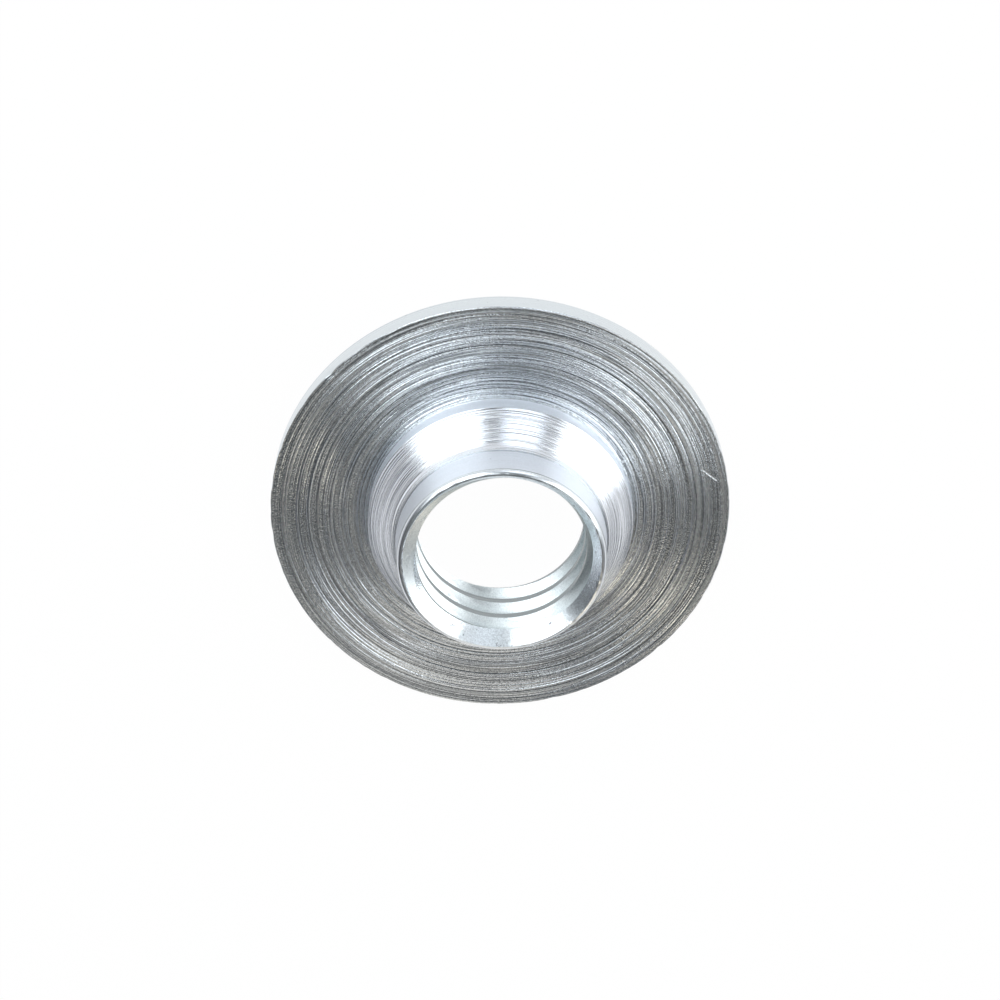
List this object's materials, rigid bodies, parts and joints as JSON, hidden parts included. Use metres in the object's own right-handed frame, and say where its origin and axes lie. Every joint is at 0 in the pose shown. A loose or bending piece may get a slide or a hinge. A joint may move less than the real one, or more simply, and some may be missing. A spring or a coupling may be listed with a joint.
{
  "type": "disc retaining nut",
  "caption": "Turned steel nut with a thin round flange, a stepped tapering boss and a coarse internal thread, for clamping a sanding disc on a backing pad.",
  "frame": {"origin": "centre of the flange's flat back face, on the thread axis", "axes": "+Z along the thread axis, out of the boss's mouth; the flange lies in XY"},
  "size_m": [0.038, 0.038, 0.0095],
  "materials": {
    "zinc_plated_steel": "turned steel with a thin bright zinc plating, concentric tool marks on the flange and taper"
  },
  "bodies": {
    "root": {"retaining_nut": "zinc_plated_steel"}
  },
  "joints": []
}
